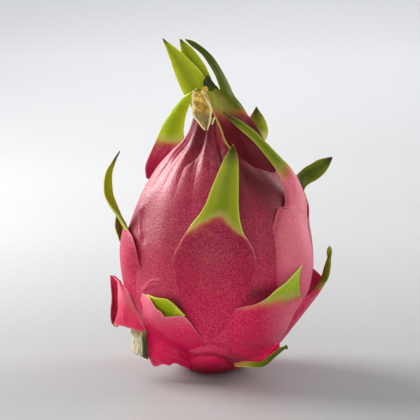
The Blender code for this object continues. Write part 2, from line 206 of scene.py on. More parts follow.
LOW_RIGHT = (
    ((6, -40.5, 32.5), (12.5, -42, 35), (19, -42, 36.5), (24, -41, 39), (27.5, -40, 42), (32, -37, 45),
     (35.5, -33.5, 48), (39.5, -28.5, 51.5)),
    ((5, -40, 30.5), (12.5, -42, 32.5), (19.5, -41.5, 34), (26, -39, 36.5), (31.5, -36, 39.5),
     (35, -33.5, 42.5), (38, -30, 45.5)),
    ((4, -39, 28), (12.5, -41, 29.5), (20, -40, 31), (27, -37.5, 33.5), (33, -33, 36), (38.5, -28, 39.5)),
    ((3.5, -38, 25), (12.5, -39.5, 26), (20.5, -38, 27), (27.5, -34, 28.5), (34, -29, 31),
     (39.5, -22.5, 35)),
    ((4, -36, 21), (12.5, -37, 21.5), (20.5, -34.5, 21.5), (27.5, -30.5, 23), (34, -24, 26),
     (40.5, -11, 28.5)),
    ((6, -32, 16), (13, -32, 15.5), (20.5, -29, 15.5), (27, -25, 17.5), (32.5, -19.5, 20), (38, -8.5, 23)),
    ((9.5, -26.5, 10.5), (15, -25, 10), (20.5, -21.5, 10), (25.5, -18.5, 12), (30.5, -14, 15),
     (35, -5.5, 17.5)),
)
CROWN_BLADE = (
    ((-12.5, -3.5, 150), (-12, -3.5, 150), (-12, -3.5, 150)),
    ((-10.5, -4, 147.5), (-9, -5, 148.5), (-8.5, -4, 149)),
    ((-5.5, -4.5, 143.5), (-4.5, -5.5, 145), (-3.5, -4.5, 145.5)),
    ((-2.5, -5, 139.5), (-0.8, -6.5, 140.5), (0.5, -5, 141.5)),
    ((0.5, -6, 134.5), (2.3, -8, 135), (4.3, -5.5, 135.5)),
    ((2.5, -7, 129.5), (4.8, -9, 130), (7.2, -6, 130)),
    ((4, -8.5, 125.5), (6.8, -10.5, 125.5), (9.6, -7.5, 125)),
    ((7, -10.5, 122), (10.5, -12.5, 121.5), (13.5, -9, 120)),
    ((9.5, -9, 117.5), (13, -8.5, 116), (17, -5, 113.5)),
)
CROWN_SHEET = (
    ((-3.5, -8, 127.5), (0.5, -9.5, 128.5), (5, -7, 127)),
    ((-2, -9.5, 124), (2.5, -12, 124.5), (8.5, -8.5, 123.5)),
    ((0, -11.5, 119), (5, -13, 119.5), (13, -8, 119)),
    ((1.5, -11.5, 115), (8, -12, 115), (17, -5.5, 114.5)),
    ((3.5, -11.5, 110.5), (11, -12, 109.5), (20, -5, 110)),
    ((5, -13, 106), (14, -14, 104.5), (23, -6, 105)),
    ((7.5, -14.8, 102), (16, -16.5, 100), (25, -8, 100.5)),
    ((9.5, -16.8, 98.5), (17.5, -17.5, 95.5), (27, -11, 96)),
    ((12, -17, 94), (20, -18, 91), (29, -12, 92)),
)
CROWN_STUB = (
    ((-3, -6, 134), (-2.5, -6.5, 134), (-2, -6, 134)),
    ((-4.5, -6.5, 131), (-2, -8, 132), (0.5, -7, 130.5)),
    ((-4, -7.5, 128), (-0.5, -9.5, 129), (2.5, -7.5, 128)),
    ((-2, -9, 125.5), (1, -10.5, 126), (3.5, -9, 125)),
)
FOOT_RIGHT_FACE = (
    ((8.5, -32.5, 15.5), (15.5, -29.5, 14.5), (21.5, -26, 15), (26.5, -22, 16.5), (29, -18.5, 17.5)),
    ((8, -31, 11.5), (15.5, -27, 10.5), (22, -22.5, 11), (27.5, -17.5, 13), (30, -13.5, 14.5)),
    ((7.5, -20, 7), (14, -21.5, 7), (21.5, -22, 7.5), (26, -21.5, 10), (29.5, -20.5, 12)),
    ((7, -18.5, 5), (13.5, -20.5, 5), (22, -21, 5.5), (26.5, -21, 8.5), (30, -20, 11)),
)
FOOT_RIGHT_EDGE = (
    ((7, -19.5, 6), (14, -22, 6.5), (20.5, -22.5, 6.5), (23, -22.5, 7.5), (27, -22, 10.5),
     (30.5, -21.5, 13), (33, -20.5, 13)),
    ((7, -21, 5.5), (14, -23.5, 5.5), (20.5, -24, 5.5), (23.5, -23.5, 6.5), (27.5, -22.5, 9.5),
     (31, -22, 12), (33.5, -21, 13)),
    ((7, -20, 4), (14, -22.5, 4), (21, -23, 4), (24, -22.5, 5), (27.5, -22, 8), (31.5, -21.5, 11.5),
     (33.5, -20.5, 13)),
)
LOW_LEFT_LINING = (
    ((-29.5, -31, 38.5), (-25.5, -36, 38), (-20.5, -40.5, 38), (-17.5, -42, 36), (-15, -42.5, 34),
     (-12.5, -42.5, 31)),
    ((-29, -31, 37.5), (-25, -35, 36.5), (-20.5, -38.5, 35.5), (-17.5, -40, 34), (-15.5, -41.5, 32.5),
     (-13, -41.5, 30.5)),
    ((-28.5, -30.5, 36), (-25, -34, 34), (-22, -36, 32.5), (-18.5, -38, 31.5), (-16.5, -39.5, 30.5),
     (-13.5, -40, 29.5)),
    ((-28, -30.5, 34.5), (-25, -32.5, 31.5), (-22.5, -34, 29.5), (-19, -36, 28.5), (-17, -37.5, 28),
     (-14, -39, 28)),
)
FAR_RIGHT_BLADE = (
    ((52.5, -6, 56.5), (53, -6, 56.5), (53, -6, 56.5)),
    ((52, -5, 51.5), (52.5, -7, 52), (53.5, -5.5, 51.5)),
    ((50.5, -4, 47), (52.5, -8, 47.5), (53.5, -5.5, 47)),
    ((49, -3, 41.5), (51.5, -9, 42.5), (52.5, -5, 42)),
    ((46, -9, 37.5), (48.5, -10, 37.5), (50, -4, 37)),
    ((41, -17, 34), (44.5, -13, 33.5), (47, -4, 32.5)),
    ((37.5, -20, 28.5), (40.5, -15, 28), (42.5, -4, 26.5)),
    ((33, -20, 22), (36, -13, 21), (37.5, -4, 20)),
    ((29, -18, 16), (31, -11, 14.5), (32.5, -4, 14)),
)
BOTTOM_FOLD = (
    ((-10.5, -25.5, 10), (-6, -27.5, 12), (-1, -28, 12.5), (4, -26.5, 10.5), (9, -21.5, 6)),
    ((-11, -27, 8), (-6, -29, 9), (-0.5, -29.5, 9.5), (4.5, -27.5, 8), (9.5, -22, 4.5)),
    ((-11, -26, 5), (-5.5, -28, 5), (0, -28, 5), (5, -26, 4.5), (9.5, -21.5, 3.5)),
    ((-10, -23, 2.5), (-5, -24.5, 1.5), (0.5, -24.5, 1.5), (5.5, -23, 2), (9.5, -20.5, 2.5)),
)
UPPER_LEFT_BLADE = (
    ((-7.5, -4, 127.5), (-7.5, -4.5, 128), (-7, -4, 127.5)),
    ((-12.5, -2, 124.5), (-10.5, -4, 125.5), (-9.5, -3, 124)),
    ((-16.5, 2, 120), (-14, -0.5, 121), (-11, 0, 119)),
    ((-20, 6, 115), (-17, 3, 115.5), (-12.5, 3, 114)),
    ((-23.5, 10, 109), (-19, 7, 109), (-13.5, 5, 108)),
    ((-26.5, 11, 102), (-21, 8, 102), (-13.5, 4, 102.5)),
    ((-29.5, 8, 95.5), (-23, 5, 95), (-17, 2, 95)),
    ((-31, 6, 91), (-25, 4, 90.5), (-19.5, 2, 90)),
    ((-30.5, 3, 86.5), (-26, 2, 86), (-21, 0, 85)),
)
FAR_RIGHT_POCKET = (
    ((45, -4, 46), (46.5, -3, 45), (49.5, -3, 42)),
    ((43.5, -6, 42), (46, -4.5, 41), (49, -3.5, 38.5)),
    ((42.5, -9, 37.5), (45, -7, 37), (47.5, -5, 35.5)),
    ((40.5, -14, 32.5), (43.5, -11, 32.5), (45.5, -8, 32)),
)
# The sheet's rolled margin: a ribbon along its left end, a little proud of it.
CROWN_SHEET_EDGE = [
    ((x - 0.4, y - 0.1, z), (x, y - 0.7, z), (x + 0.4, y - 0.5, z)) for (x, y, z), *_ in CROWN_SHEET[:-1]
]

# The lofts of each node: rows, the edges that are free, and tints. A tint is a number, or an axis
# and two places along it, in mm, with the tint's value at each. The shade tints are painted shade, in
# pockets, folds and undersides, and the pale tints painted light, on sides that a lamp lights.
LOFTS = {
    "scale_low_left": (
        (LOW_LEFT_FACE, "top", {"hot": ("z", 31, 13, 0, 0.95), "pale": ("z", 22, 37, 0.05, 0.75)}),
        (LOW_LEFT_LINING, "top", {"green": 1.0, "age": 0.0}),
    ),
    "scale_foot_left": (
        (FOOT_LEFT, "bottom left", {"hot": 0.95, "shade": ("x", -25, -10, 0.12, 0.35)}),
        (BOTTOM_FOLD, "bottom", {"hot": 0.8, "shade": ("z", 11, 1.5, 0.1, 0.95)}),
    ),
    "scale_flared": (
        (FLARED_FACE, "left bottom right", {"hot": ("z", 36, 24, 0, 0.6), "pale": ("z", 28, 38, 0.2, 0.8)}),
        (FLARED_LINING, "left bottom", {"hot": 0.2, "shade": ("z", 38, 26, 0.1, 0.45)}),
    ),
    "scale_low_right": (
        (LOW_RIGHT, "top", {"green": ("z", 32, 43.5, 0, 1), "pale": ("x", 20, 34, 0, 0.7),
                            "hot": 0.2, "age": 0.35, "lush": 0.4}),
    ),
    "scale_low_far_right": (
        (FAR_RIGHT_BLADE, "right", {"green": ("z", 33, 43, 0, 1), "age": 0.75, "hot": 0.2}),
        (FAR_RIGHT_POCKET, "top", {"hot": 0.6, "shade": ("z", 42, 34, 0.4, 0)}),
    ),
    "scale_foot_right": (
        (FOOT_RIGHT_FACE, "bottom", {"hot": 0.5}),
        (FOOT_RIGHT_EDGE, "top bottom", {"green": ("x", 8, 24, 0.45, 1), "age": ("x", 12, 28, 0.3, 1)}),
    ),
    "scale_upper_right": (
        (CROWN_BLADE, "left right",
         {"green": ("z", 115, 123, 0.1, 1), "age": 0.95, "shade": ("z", 126, 146, 0, 0.55)}),
        (CROWN_SHEET_EDGE, "left right", {"green": 0.47, "age": 0.25}),
        (CROWN_SHEET, "left",
         {"green": ("z", 112, 122, 0, 0.75), "age": 0.6, "shade": ("z", 122, 110, 0.1, 0.95)}),
    ),
    "scale_upper_left": (
        (UPPER_LEFT_BLADE, "left right top",
         {"green": ("z", 97, 109, 0, 1), "lush": 0.3, "age": 0.1, "hot": 0.8,
          "shade": ("z", 106, 99, 0, 0.5)}),
    ),
    "crown_leaf_stub": (
        (CROWN_STUB, "left", {"green": 1.0, "age": 1.0, "shade": ("x", 2, -3, 0.3, 0.9)}),
    ),
}
PLAIN_TINTS = {"green": 0.0, "age": 0.4, "hot": 0.0, "pale": 0.0, "shade": 0.0, "lush": 0.0}

# Painted shade: patches where the skin is darkened towards shadow crimson, beside and under scales,
# in the neck's fold and low at the front: (azimuth, height, half width, half height, slant, strength),
# in degrees and mm. A positive slant leans the patch's top towards +X.
PAINTED_SHADE_PATCHES = (
    (40, 88, 13, 16, -0.35, 1.0),
    (22, 84, 7, 14, 0.0, 0.55),
    (-27, 110, 9, 13, 0.0, 1.0),
    (-23, 35.5, 13, 4.5, -0.35, 0.7),
    (27, 40, 12, 4, 0.4, 0.7),
    (44, 58, 3, 16, 0.0, 0.45),
    (-62, 60, 6, 12, -0.6, 0.3),
    (2, 7, 14, 5, 0.0, 0.75),
)
HIDDEN = 0.25  # how deep a merged edge lies under the skin
BLADE_THICKNESS, EDGE_THICKNESS, PAPER_THICKNESS = 1.3, 0.45, 0.35
PAPER_STEPS = 40
STEM_FIBRES = 16


# ---------------------------------------------------------------- numbers

def smoothstep(value, low=0.0, high=1.0):
    """0 below low, 1 above high, and a smooth rise between."""
    value = np.clip((np.asarray(value, float) - low) / (high - low), 0.0, 1.0)
    return value * value * (3.0 - 2.0 * value)


def unit(vectors):
    """The vectors at length 1."""
    return vectors / np.maximum(np.linalg.norm(vectors, axis=-1, keepdims=True), 1e-9)


def spline(points, count):
    """count rows along a Catmull-Rom curve through rows of points, evenly spaced by distance."""
    rows = np.asarray(points, float)
    rows = np.vstack([2 * rows[0] - rows[1], rows, 2 * rows[-1] - rows[-2]])
    fine = []
    for a, b, c, d in zip(rows, rows[1:], rows[2:], rows[3:]):
        square, cube = 2 * a - 5 * b + 4 * c - d, 3 * b - a - 3 * c + d
        for s in np.linspace(0.0, 1.0, 80, endpoint=False):
            fine.append(0.5 * (2 * b + (c - a) * s + square * s**2 + cube * s**3))
    fine = np.array(fine + [rows[-2]])
    run = np.concatenate([[0.0], np.cumsum(np.linalg.norm(np.diff(fine[:, :3], axis=0), axis=1))])
    at = np.linspace(0.0, run[-1], count)
    return np.column_stack([np.interp(at, run, column) for column in fine.T])


def noise_at(points, scale, seed=0.0):
    """Smooth noise, about -1 to 1, at millimetre points, with features about 1/scale mm long."""
    flat = points.reshape(-1, 3) * scale + seed
    values = np.array([noise.noise(Vector(p)) for p in flat])
    return values.reshape(points.shape[:-1])


# ---------------------------------------------------------------- skin

def outline_table():
    """The outline as (angle from +Z at HEART, distance from HEART), rising in angle."""
    line = spline([(r, 0.0, z) for r, z in MERIDIAN], 1600)
    reach = line[:, 2] - HEART[2]
    return np.arctan2(line[:, 0], reach), np.hypot(line[:, 0], reach)


OUTLINE_ANGLES, OUTLINE_REACH = outline_table()
CREASE_STEPS = 24
CREASE_LINES = [
    (spline([(a, h, 0.0) for a, h in points], CREASE_STEPS), *sizes) for points, *sizes in CREASES
]


def crease_offset(azimuth, height, radius, crease):
    """The offset, in mm, that one crease or ridge gives at points of the skin."""
    line, width, depth = crease
    nearest = np.full(azimuth.shape, 1e9)
    along = np.zeros(azimuth.shape)
    for i, (a, h, _) in enumerate(line):
        away = np.hypot(np.radians(azimuth - a) * radius, height - h)
        closer = away < nearest
        nearest = np.where(closer, away, nearest)
        along = np.where(closer, i / (CREASE_STEPS - 1.0), along)
    fade = smoothstep(along, 0.0, 0.25) * (1.0 - smoothstep(along, 0.75, 1.0))
    return -depth * fade * np.exp(-((nearest / width) ** 2))


def neck_pleats(azimuth, height):
    """Gathered folds that start at the neck's top and fan out over the shoulders, in mm."""
    turn = np.radians(azimuth)
    sway = 0.25 * np.sin(2 * turn + 0.7) + 0.012 * (height - 100.0) * np.sin(turn + 1.0)
    broad = 1.0 - np.abs(np.sin(4.5 * turn + 1.9 + 2.0 * sway)) ** 0.8
    narrow = 1.0 - np.abs(np.sin(11.0 * turn + 0.4 + 3.0 * sway)) ** 0.9
    strong = smoothstep(height, 82.0, 104.0)
    fine = smoothstep(height, 76.0, 98.0) * (1.0 - 0.5 * smoothstep(height, 104.0, 116.0))
    return 1.0 - 2.1 * strong * broad - 0.75 * fine * narrow - (1.0 - strong)


def skin(rays):
    """Where rays from HEART, unit vectors, meet the skin."""
    angle = np.arccos(np.clip(rays[..., 2], -1.0, 1.0))
    turn = np.arctan2(rays[..., 0], -rays[..., 1])
    azimuth = np.degrees(turn)
    reach = np.interp(angle, OUTLINE_ANGLES, OUTLINE_REACH)
    waist = np.sin(angle) ** 2
    reach = reach * (1.0 + waist * (FULLER_SIDE * np.sin(turn) + 0.012 * np.cos(3 * turn + 0.6)))
    height = HEART[2] + reach * rays[..., 2]
    shoulder = np.exp(-(((azimuth - 80.0) / 45.0) ** 2) - ((height - 82.0) / 13.0) ** 2)
    reach = reach + SHOULDER_SWELL * shoulder
    radius = reach * np.sin(angle)
    near_pole = smoothstep(radius, 1.0, 7.0)
    offset = near_pole * neck_pleats(azimuth, height)
    ribs = smoothstep(height, 20.0, 45.0) * (1.0 - smoothstep(height, 80.0, 100.0))
    offset = offset + 0.35 * ribs * np.sin(9 * turn + 0.8 * np.sin(0.09 * height))
    for crease in CREASE_LINES:
        offset = offset + crease_offset(azimuth, height, radius, crease)
    reach = reach + offset
    down = np.minimum(rays[..., 2], -1e-6)
    reach = np.where(rays[..., 2] < -0.5, np.minimum(reach, HEART[2] / -down), reach)
    return HEART + rays * reach[..., None]


def skin_at(azimuth, height):
    """The skin's point at an azimuth and a height, found by halving the ray's angle."""
    turn = math.radians(azimuth)
    low, high = 0.0, math.pi
    for _ in range(40):
        angle = 0.5 * (low + high)
        across, up = math.sin(angle), math.cos(angle)
        ray = np.array([across * math.sin(turn), -across * math.cos(turn), up])
        low, high = (angle, high) if skin(ray)[2] > height else (low, angle)
    return skin(ray)


# ---------------------------------------------------------------- meshes

def add_mesh(name, points, faces, material, attributes=()):
    """A smooth mesh object from millimetre points, with float attributes for its material."""
    mesh = bpy.data.meshes.new(name)
    mesh.from_pydata((points * MM).tolist(), [], faces)
    mesh.validate()
    for key, values in dict(attributes).items():
        layer = mesh.attributes.new(key, "FLOAT", "POINT")
        layer.data.foreach_set("value", np.broadcast_to(values, len(points)).astype(np.float32))
    mesh.materials.append(material)
    mesh.shade_smooth()
    obj = bpy.data.objects.new(name, mesh)
    bpy.context.scene.collection.objects.link(obj)
    return obj


def grid_faces(rows, columns, start=0, flip=False, wrap=False):
    """Quads of a grid of points stored row by row."""
    faces = []
    span = columns if wrap else columns - 1
    for i in range(rows - 1):
        for j in range(span):
            a, b = start + i * columns + j, start + i * columns + (j + 1) % columns
            quad = (a, b, b + columns, a + columns)
            faces.append(quad[::-1] if flip else quad)
    return faces


def closed_sheet(outer, inner):
    """Points and faces of the solid between two grids, whose outer side winds outwards."""
    rows, columns = outer.shape[:2]
    half = rows * columns
    points = np.vstack([outer.reshape(-1, 3), inner.reshape(-1, 3)])
    faces = grid_faces(rows, columns) + grid_faces(rows, columns, start=half, flip=True)
    for i in range(rows - 1):
        a, b = i * columns, (i + 1) * columns
        faces.append((a, b, half + b, half + a))
        a, b = a + columns - 1, b + columns - 1
        faces.append((a, half + a, half + b, b))
    for j in range(columns - 1):
        a = (rows - 1) * columns + j
        faces.append((j, half + j, half + j + 1, j + 1))
        faces.append((a, a + 1, half + a + 1, half + a))
    return points, faces


def facing_of(outer):
    """Unit normals of a grid of points."""
    return unit(np.cross(np.gradient(outer, axis=1), np.gradient(outer, axis=0)))


def joined(*solids):
    """Several (points, faces, attributes) as one."""
    points, faces, attributes = [], [], {}
    for some_points, some_faces, some_attributes in solids:
        base = sum(len(p) for p in points)
        points.append(some_points)
        faces += [tuple(base + i for i in face) for face in some_faces]
        for key, values in some_attributes.items():
            attributes.setdefault(key, []).append(np.broadcast_to(values, len(some_points)))
    return np.vstack(points), faces, {key: np.concatenate(values) for key, values in attributes.items()}


def ride(piece, node):
    """Fixes a piece to the body and hides the CAD node it stands in for."""
    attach(piece, "root")
    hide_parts(node)


def stand_in(name, solids, material, node):
    """Some solids as one mesh object, standing in for a CAD node."""
    points, faces, attributes = joined(*solids)
    ride(add_mesh(name, points, faces, material, attributes), node)


def painted_shade_at(points):
    """How far the painted shade patches darken the skin at some points, 0 to 1."""
    radius = np.hypot(points[:, 0], points[:, 1])
    azimuth = np.degrees(np.arctan2(points[:, 0], -points[:, 1]))
    total = np.zeros(len(points))
    for middle, height, wide, tall, slant, strength in PAINTED_SHADE_PATCHES:
        up = points[:, 2] - height
        off = np.radians((azimuth - middle + 180.0) % 360.0 - 180.0) * radius - slant * up
        total = np.maximum(total, strength * np.exp(-((off / wide) ** 2) - (up / tall) ** 2))
    return total


def make_body(material):
    """The fruit's skin: rings of points from the neck's top down to the flat spot."""
    angles = np.linspace(0.0, math.pi, BODY_ROWS + 1)[1:-1]
    turns = np.linspace(0.0, 2 * math.pi, BODY_COLUMNS, endpoint=False)
    angle, turn = np.meshgrid(angles, turns, indexing="ij")
    rays = np.stack([np.sin(angle) * np.sin(turn), -np.sin(angle) * np.cos(turn), np.cos(angle)], -1)
    points = skin(rays)
    rings = points.shape[0]
    faces = grid_faces(rings, BODY_COLUMNS, flip=True, wrap=True)
    top, bottom = rings * BODY_COLUMNS, rings * BODY_COLUMNS + 1
    last = (rings - 1) * BODY_COLUMNS
    for j in range(BODY_COLUMNS):
        k = (j + 1) % BODY_COLUMNS
        faces.append((top, j, k))
        faces.append((bottom, last + k, last + j))
    poles = skin(np.array([[0.0, 0.0, 1.0], [0.0, 0.0, -1.0]]))
    points = np.vstack([points.reshape(-1, 3), poles])
    # The shade attribute is painted shade: the skin darkened in its pockets and folds.
    piece = add_mesh("rind", points, faces, material, {"shade": painted_shade_at(points)})
    ride(piece, "fruit_body")


def strip_frames(spec, count):
    """Centres, half widths, side and normal directions along a scale, and where it leaves the skin."""
    bed, rows = spec.get("bed", ()), []
    for i, (azimuth, height, half_width) in enumerate(bed):
        point = skin_at(azimuth, height)
        lift = spec["puff"] * float(smoothstep(i / (len(bed) - 1)))
        rows.append((*(point + unit(point - HEART) * lift), half_width))
    leaving_point = np.array(rows[-1][:3]) if bed else None
    line = spline(rows + list(spec["blade"]), count)
    centres, widths = line[:, :3], line[:, 3]
    leaving = 0.0
    if bed:
        leaving = int(np.argmin(np.linalg.norm(centres - leaving_point, axis=1))) / (count - 1)
    turn = math.radians(bed[-1][0] if bed else spec["face"])
    across = np.array([math.cos(turn), math.sin(turn), 0.0])
    along = unit(np.gradient(centres, axis=0))
    side = unit(across - along * (along @ across)[:, None])
    turning = smoothstep(np.linspace(0.0, 1.0, count), leaving, leaving + 0.6 * (1.0 - leaving))
    twist = math.radians(spec["twist"]) * turning
    side = side * np.cos(twist)[:, None] + np.cross(along, side) * np.sin(twist)[:, None]
    return centres, widths, side, np.cross(side, along), leaving


def make_scale(name, given, material):
    """One scale: an outer and an inner sheet that meet along a thin rounded edge."""
    spec = {**DEFAULTS, **given}
    seed = float(sum(ord(c) for c in name) % 97)
    centres, widths, side, normal, leaving = strip_frames(spec, SCALE_ROWS + 1)
    v = np.linspace(0.0, 1.0, SCALE_ROWS + 1)[:, None]
    u = np.sin(np.linspace(-0.5 * math.pi, 0.5 * math.pi, SCALE_COLUMNS + 1))[None, :]

    # The edge wanders a little.
    wander = noise_at(np.stack(np.broadcast_arrays(9.0 * v + seed, 3.0 * np.sign(u), 0.0), -1), 1.0)
    breadth = widths[:, None] * (1.0 + 0.05 * wander * np.abs(u) ** 3)
    bend = u * spec["curl"]
    rolled = breadth / spec["curl"]
    free = (
        centres[:, None, :]
        + side[:, None, :] * (rolled * np.sin(bend))[..., None]
        + normal[:, None, :] * (rolled * (np.cos(bend) - 1.0))[..., None]
    )
    outer, wall = free, np.full(free.shape[:2], BLADE_THICKNESS)
    if leaving:
        flat = centres[:, None, :] + side[:, None, :] * (u * breadth)[..., None]
        rays = unit(flat - HEART)
        clear = smoothstep(v, *spec["free"])
        swell = spec["puff"] * smoothstep(v, 0.0, 0.8 * leaving)
        low = spec["rim"] * clear - HIDDEN * (1.0 - clear)
        pillow = np.clip(1.0 - u * u, 0.0, 1.0) ** (2.0 - 1.25 * clear)
        lift = low + (swell - low) * pillow
        laid = skin(rays) + rays * lift[..., None]
        loose = smoothstep(v, leaving, leaving + 0.5 * (1.0 - leaving))
        outer = laid * (1.0 - loose[..., None]) + free * loose[..., None]
        wall = BLADE_THICKNESS * (1.0 + 0.6 * (1.0 - loose)) + 0 * u
    crinkle = noise_at(outer, 0.16, seed) * 0.35 + noise_at(outer, 0.5, seed) * 0.12
    facing = facing_of(outer)
    stand = smoothstep(v, leaving * 0.7, leaving + 0.15)
    outer = outer + facing * (crinkle * stand)[..., None]
    thin = EDGE_THICKNESS + (wall - EDGE_THICKNESS) * (1.0 - np.abs(u) ** 3)
    thin = thin * (1.0 - 0.5 * v**4)
    inner = outer - facing * thin[..., None]

    points, faces = closed_sheet(outer, inner)
    half = len(points) // 2

    green = smoothstep(v - spec["arch"] * (1.0 - np.abs(u) ** 1.5), *spec["green"])
    reddened = smoothstep(v, 0.2, leaving + 0.1) + 0 * u if leaving else 1.0 + 0 * v + 0 * u
    # Painted light: most of the cushion painted pale pink as if lit, fading off one edge and the base.
    painted_light_paleness = spec["pale"] * smoothstep(u, -1.1, -0.5) * smoothstep(v, 0.05, 0.4)
    attributes = {
        "along": np.tile((v + 0 * u).ravel(), 2),
        "across": np.tile((u + 0 * v).ravel(), 2),
        "green": np.tile(green.ravel(), 2),
        "cushion": np.tile(reddened.ravel(), 2),
        # inner darkens the inner side with painted shade; lit blades get none.
        "inner": np.repeat([0.0, 0.0 if spec["lit"] else 1.0], half),
        "age": spec["age"],
        "hot": spec["hot"],
        "pale": np.tile(painted_light_paleness.ravel(), 2),
        "lush": spec["lush"],
        "shade": spec["shade"],
    }
    ride(add_mesh(f"{name}_skin", points, faces, material, attributes), name)


def tint_at(tint, points):
    if not isinstance(tint, tuple):
        return tint
    axis, start, end, at_start, at_end = tint
    share = smoothstep((points[:, "xyz".index(axis)] - start) / (end - start))
    return at_start + (at_end - at_start) * share


def loft(rows, free, tints):
    """The solid under a smooth surface through rows of points, with its material attributes."""
    lines = np.array([spline(row, LOFT_COLUMNS) for row in rows[::-1]])
    columns = [spline(lines[:, k], LOFT_ROWS) for k in range(LOFT_COLUMNS)]
    outer = np.stack(columns, axis=1)
    v = np.linspace(0.0, 1.0, LOFT_ROWS)[:, None] + np.zeros((1, LOFT_COLUMNS))
    u = np.zeros((LOFT_ROWS, 1)) + np.linspace(0.0, 1.0, LOFT_COLUMNS)[None, :]
    inwards = {"top": 1.0 - v, "bottom": v, "left": u, "right": 1.0 - u}
    rim = 1.0 - np.min([np.minimum(2.2 * inwards[side], 1.0) for side in free.split()], axis=0)
    crinkle = noise_at(outer, 0.16, len(rows)) * 0.35 + noise_at(outer, 0.5, 3.0) * 0.12
    facing = facing_of(outer)
    outer = outer + facing * (crinkle * smoothstep(1.0 - rim, 0.0, 0.2))[..., None]
    thick = EDGE_THICKNESS + (BLADE_THICKNESS - EDGE_THICKNESS) * smoothstep(1.0 - rim, 0.0, 0.35)
    points, faces = closed_sheet(outer, outer - facing * thick[..., None])
    half = len(points) // 2
    attributes = {
        "along": 0.5,
        "across": np.tile(rim.ravel(), 2),
        "cushion": 1.0,
        # The lofts' inner side gets painted shade.
        "inner": np.repeat([0.0, 1.0], half),
        **{key: tint_at(tints.get(key, value), points) for key, value in PLAIN_TINTS.items()},
    }
    return points, faces, attributes


def make_lofts(material):
    """The free-form scales: each node's surfaces as one piece."""
    for name, surfaces in LOFTS.items():
        stand_in(f"{name}_skin", [loft(*surface) for surface in surfaces], material, name)


def papery_sheet(rows, bulge, seed, crumple):
    """A crumpled papery sheet. rows are (left x, right x, z, y) from its top to its bottom."""
    line = spline(rows, PAPER_STEPS)
    u = np.linspace(-1.0, 1.0, PAPER_STEPS)[None, :]
    left, right, z, y = (line[:, k][:, None] for k in range(4))
    x = 0.5 * (left + right) + 0.5 * (right - left) * u
    outer = np.stack([x, y - bulge * (1.0 - u * u) + 0 * z, z + 0 * u], -1)[::-1]
    folds = noise_at(outer, 0.45, seed) * crumple + noise_at(outer, 1.1, seed) * crumple * 0.4
    rolled = 0.7 * np.abs(u) ** 6
    outer = outer + facing_of(outer) * (folds + rolled)[..., None]
    points, faces = closed_sheet(outer, outer - facing_of(outer) * PAPER_THICKNESS)
    return points, faces, {"edge": np.tile((np.abs(u) + 0 * z).ravel(), 2)}


def lump(centre, radii, seed, dent):
    """A dented ball."""
    rings, columns = 26, 40
    angle = np.linspace(0.02, math.pi - 0.02, rings)[:, None]
    turn = np.linspace(0.0, 2 * math.pi, columns, endpoint=False)[None, :]
    ring = np.sin(angle)
    ball = np.stack([ring * np.cos(turn), ring * np.sin(turn), np.cos(angle) + 0 * turn], -1)
    swell = 1.0 + dent * noise_at(ball, 1.8, seed) + 0.5 * dent * noise_at(ball, 4.5, seed)
    points = (np.array(centre) + ball * swell[..., None] * np.array(radii)).reshape(-1, 3)
    faces = grid_faces(rings, columns, flip=True, wrap=True)
    faces.append(tuple(range(columns)))
    faces.append(tuple(reversed(range((rings - 1) * columns, rings * columns))))
    return points, faces, {"edge": 0.0}


def make_dried_flower(material):
    """The withered flower: a golden crumpled flap, a dried knot and a cup with cream edges."""
    gold = ((-8.6, -5.2, 127, -8.6), (-9.2, -3, 123.6, -11), (-8.9, -0.8, 119.4, -12.2))
    knob = lump((-2.9, -6.8, 127.4), (2.1, 1.9, 2.3), 7.0, 0.3)
    cup = (
        (-8.8, -0.6, 120.5, -10.6), (-9, -0.9, 117, -11.8), (-6.6, -1.6, 114, -13),
        (-3.3, -3, 110.2, -14.2),
    )
    curl = ((-1.6, 0.4, 115.6, -12), (-1.8, -0.2, 113.8, -12.6), (-1.2, -0.8, 112.4, -12.4))
    knot = [papery_sheet(gold, 1.4, 3.0, 0.9), knob]
    flap = [papery_sheet(cup, 1.5, 11.0, 0.35), papery_sheet(curl, 0.8, 5.0, 0.3)]
    stand_in("dried_knot", knot, material, "flower_knot")
    stand_in("dried_cup", flap, material, "flower_flap")


